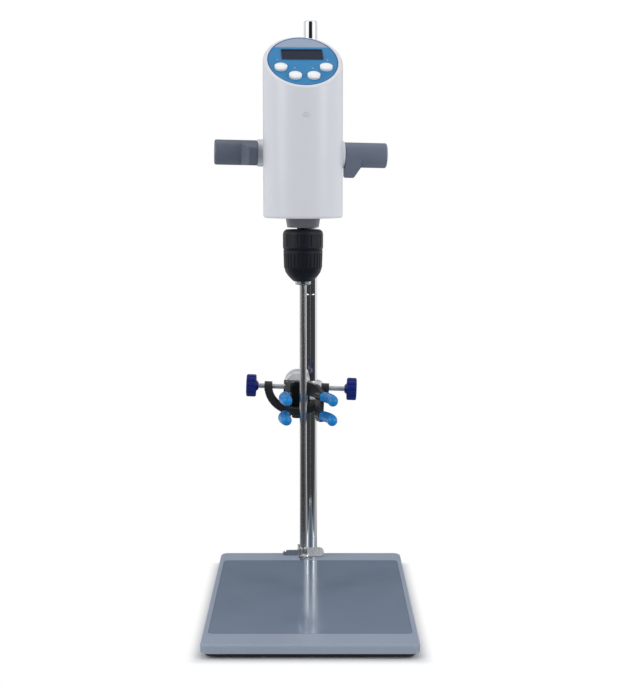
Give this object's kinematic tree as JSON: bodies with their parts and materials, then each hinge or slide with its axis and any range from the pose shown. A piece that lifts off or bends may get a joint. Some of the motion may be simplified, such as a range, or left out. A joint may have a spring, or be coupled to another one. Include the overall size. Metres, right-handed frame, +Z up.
{
  "type": "overhead stirrer",
  "caption": "Overhead laboratory stirrer on a plate stand: tilted-panel motor head on a cross bar, keyless chuck, stirring shaft with propeller, and a four-finger vessel clamp on the rod.",
  "frame": {"origin": "on the bench surface, under the middle of the whole object's bounding box, which is 9.5 mm behind the centre of the stand's plate", "axes": "+Z up along the support rod, -Y to the front of the plate, +X to the right as seen from the front"},
  "size_m": [0.2, 0.319, 0.5956],
  "materials": {
    "plate_paint": "satin fine-textured powder coat",
    "panel_gloss": "glossy enamel",
    "pan_black": "matt",
    "foot_rubber": "matt",
    "small_steel": "machined",
    "rod_chrome": "polished",
    "cross_casting": "fine-textured",
    "screw_knob": "matt moulded",
    "shell_white": "satin moulded",
    "plug_grey": "moulded",
    "inlet_black": "moulded",
    "lid_white": "satin moulded",
    "overlay_blue": "printed film, satin",
    "window_dark": "glossy, tinted",
    "board_green": "solder-masked",
    "switch_black": "moulded",
    "button_white": "satin moulded",
    "knob_slate": "moulded, slightly worn",
    "knob_grey": "moulded, slightly worn",
    "collar_grey": "satin",
    "nut_aluminium": "machined",
    "motor_steel": "drawn",
    "rotor_steel": "laminated",
    "spindle_black": "black oxide",
    "chuck_black": "moulded, ribbed",
    "core_steel": "turned",
    "shaft_steel": "ground stainless",
    "boss_grey": "die cast, satin",
    "yoke_nickel": "nickel plated casting",
    "finger_blue": "dip-coated vinyl",
    "knob_blue": "moulded"
  },
  "bodies": {
    "stand": {"base_plate": "plate_paint", "base_panel": "panel_gloss", "base_pan": "pan_black", "base_feet": "foot_rubber", "pan_screws": "small_steel", "rod_foot_bolt": "small_steel", "rod_lower": "rod_chrome", "rod_upper": "rod_chrome"},
    "cross_clamp": {"cross_clamp_casting": "cross_casting"},
    "cross_rod_screw": {"cross_rod_screw": "screw_knob"},
    "cross_bar_screw": {"cross_bar_screw": "screw_knob"},
    "head": {"support_bar": "rod_chrome", "head_shell": "shell_white", "service_plug": "plug_grey", "power_inlet": "inlet_black", "panel_lid": "lid_white", "panel_lid_screws": "small_steel", "panel_overlay": "overlay_blue", "display_window": "window_dark", "display_module": "window_dark", "control_board": "board_green", "tact_switches": "switch_black", "bearing_housing": "collar_grey", "housing_nut": "nut_aluminium", "spindle_bearings": "small_steel", "motor_plate": "nut_aluminium", "motor_can": "motor_steel"},
    "button_outer_left": {"button_outer_left": "button_white"},
    "button_inner_left": {"button_inner_left": "button_white"},
    "button_inner_right": {"button_inner_right": "button_white"},
    "button_outer_right": {"button_outer_right": "button_white"},
    "left_side_knob": {"left_knob": "knob_slate", "left_knob_screw": "small_steel"},
    "right_side_knob": {"right_knob": "knob_grey", "right_knob_screw": "small_steel"},
    "spindle": {"motor_rotor": "rotor_steel", "drive_coupling": "nut_aluminium", "spindle": "spindle_black", "chuck_rear_ring": "chuck_black", "chuck_core": "core_steel", "stirring_shaft": "shaft_steel", "propeller": "shaft_steel"},
    "chuck_sleeve": {"chuck_sleeve": "chuck_black"},
    "chuck_jaw_1": {"chuck_jaw_1": "core_steel"},
    "chuck_jaw_2": {"chuck_jaw_2": "core_steel"},
    "chuck_jaw_3": {"chuck_jaw_3": "core_steel"},
    "vessel_clamp": {"vessel_clamp_boss": "boss_grey"},
    "vessel_rod_screw": {"vessel_rod_screw": "screw_knob"},
    "vessel_arm_screw": {"vessel_arm_screw": "screw_knob"},
    "vessel_arm": {"vessel_arm": "shaft_steel", "vessel_yoke": "yoke_nickel", "jaw_pins": "small_steel"},
    "left_jaw": {"left_jaw": "yoke_nickel", "left_finger_sleeves": "finger_blue"},
    "right_jaw": {"right_jaw": "yoke_nickel", "right_finger_sleeves": "finger_blue"},
    "left_adjust_screw": {"left_adjust_screw": "shaft_steel"},
    "right_adjust_screw": {"right_adjust_screw": "shaft_steel"},
    "left_adjust_knob": {"left_adjust_knob": "knob_blue"},
    "right_adjust_knob": {"right_adjust_knob": "knob_blue"}
  },
  "joints": [
    {"name": "cross_clamp_height", "type": "slide", "parent": "stand", "child": "cross_clamp", "axis": [0, 0, 1], "range_m": [-0.02, 0.1]},
    {"name": "cross_rod_screw_turn", "type": "hinge", "parent": "cross_clamp", "child": "cross_rod_screw", "pos_m": [0, 0.1215, 0.456], "axis": [-0.0872, 0.9962, 0], "range_deg": [-360, 360]},
    {"name": "cross_bar_screw_turn", "type": "hinge", "parent": "cross_clamp", "child": "cross_bar_screw", "pos_m": [-0.01693, 0.12002, 0.456], "axis": [0, 0, 1], "range_deg": [-360, 360]},
    {"name": "head_reach", "type": "slide", "parent": "cross_clamp", "child": "head", "axis": [-0.0872, 0.9962, 0], "range_m": [-0.02, 0.015]},
    {"name": "button_outer_left_press", "type": "slide", "parent": "head", "child": "button_outer_left", "axis": [-0.0502, 0.5742, -0.8171], "range_m": [0, 0.0012], "stiffness_N_per_m": 400, "springref_m": -0.0004},
    {"name": "button_inner_left_press", "type": "slide", "parent": "head", "child": "button_inner_left", "axis": [-0.0502, 0.5742, -0.8171], "range_m": [0, 0.0012], "stiffness_N_per_m": 400, "springref_m": -0.0004},
    {"name": "button_inner_right_press", "type": "slide", "parent": "head", "child": "button_inner_right", "axis": [-0.0502, 0.5742, -0.8171], "range_m": [0, 0.0012], "stiffness_N_per_m": 400, "springref_m": -0.0004},
    {"name": "button_outer_right_press", "type": "slide", "parent": "head", "child": "button_outer_right", "axis": [-0.0502, 0.5742, -0.8171], "range_m": [0, 0.0012], "stiffness_N_per_m": 400, "springref_m": -0.0004},
    {"name": "left_side_knob_turn", "type": "hinge", "parent": "head", "child": "left_side_knob", "pos_m": [-0.0097, 0.03733, 0.456], "axis": [0.996, 0.0871, -0.0209], "range_deg": [-180, 180]},
    {"name": "right_side_knob_turn", "type": "hinge", "parent": "head", "child": "right_side_knob", "pos_m": [-0.0097, 0.03733, 0.456], "axis": [0.996, 0.0871, -0.0209], "range_deg": [-180, 180]},
    {"name": "spindle_turn", "type": "hinge", "parent": "head", "child": "spindle", "pos_m": [-0.00735, 0.01044, 0.4], "axis": [0, 0, 1], "continuous": true},
    {"name": "chuck_sleeve_turn", "type": "hinge", "parent": "spindle", "child": "chuck_sleeve", "pos_m": [-0.00735, 0.01044, 0.4], "axis": [0, 0, 1], "range_deg": [0, 720]},
    {"name": "chuck_jaw_1_slide", "type": "slide", "parent": "spindle", "child": "chuck_jaw_1", "axis": [0.173, 0.0151, 0.9848], "range_m": [0, 0.003]},
    {"name": "chuck_jaw_2_slide", "type": "slide", "parent": "spindle", "child": "chuck_jaw_2", "axis": [-0.0996, 0.1422, 0.9848], "range_m": [0, 0.003]},
    {"name": "chuck_jaw_3_slide", "type": "slide", "parent": "spindle", "child": "chuck_jaw_3", "axis": [-0.0734, -0.1574, 0.9848], "range_m": [0, 0.003]},
    {"name": "vessel_clamp_height", "type": "slide", "parent": "stand", "child": "vessel_clamp", "axis": [0, 0, 1], "range_m": [-0.1, 0.06]},
    {"name": "vessel_rod_screw_turn", "type": "hinge", "parent": "vessel_clamp", "child": "vessel_rod_screw", "pos_m": [0, 0.1405, 0.203], "axis": [0, 1, 0], "range_deg": [-360, 360]},
    {"name": "vessel_arm_screw_turn", "type": "hinge", "parent": "vessel_clamp", "child": "vessel_arm_screw", "pos_m": [-0.0145, 0.1215, 0.19], "axis": [0, 0, 1], "range_deg": [-360, 360]},
    {"name": "vessel_arm_reach", "type": "slide", "parent": "vessel_clamp", "child": "vessel_arm", "axis": [0, 1, 0], "range_m": [-0.018, 0.015]},
    {"name": "left_adjust_slide", "type": "slide", "parent": "vessel_arm", "child": "left_adjust_screw", "axis": [0.9993, 0, -0.0366], "range_m": [-0.00452, 0.00188]},
    {"name": "left_adjust_turn", "type": "hinge", "parent": "left_adjust_screw", "child": "left_adjust_knob", "pos_m": [-0.04724, 0.054, 0.2172], "axis": [0.9993, 0, -0.0366], "range_deg": [-2035, 848]},
    {"name": "left_jaw_swing", "type": "hinge", "parent": "vessel_arm", "child": "left_jaw", "pos_m": [-0.0225, 0.0745, 0.20979], "axis": [0.0366, 0, 0.9993], "range_deg": [-12, 5]},
    {"name": "right_adjust_slide", "type": "slide", "parent": "vessel_arm", "child": "right_adjust_screw", "axis": [-0.9993, 0, 0.0366], "range_m": [-0.00065, 0.00659]},
    {"name": "right_adjust_turn", "type": "hinge", "parent": "right_adjust_screw", "child": "right_adjust_knob", "pos_m": [0.02871, 0.054, 0.21442], "axis": [-0.9993, 0, 0.0366], "range_deg": [-296, 2968]},
    {"name": "right_jaw_swing", "type": "hinge", "parent": "vessel_arm", "child": "right_jaw", "pos_m": [-0.00651, 0.0745, 0.20921], "axis": [0.0366, 0, 0.9993], "range_deg": [-15, 1.5]}
  ],
  "couplings": [
    {"joint": "chuck_jaw_1_slide", "follows": "chuck_sleeve_turn", "m_per_rad": 0.0002386},
    {"joint": "chuck_jaw_2_slide", "follows": "chuck_sleeve_turn", "m_per_rad": 0.0002386},
    {"joint": "chuck_jaw_3_slide", "follows": "chuck_sleeve_turn", "m_per_rad": 0.0002386},
    {"joint": "left_adjust_turn", "follows": "left_adjust_slide", "rad_per_m": 7854},
    {"joint": "left_jaw_swing", "follows": "left_adjust_slide", "rad_per_m": 46.296},
    {"joint": "right_adjust_turn", "follows": "right_adjust_slide", "rad_per_m": 7854},
    {"joint": "right_jaw_swing", "follows": "right_adjust_slide", "rad_per_m": -39.682}
  ]
}
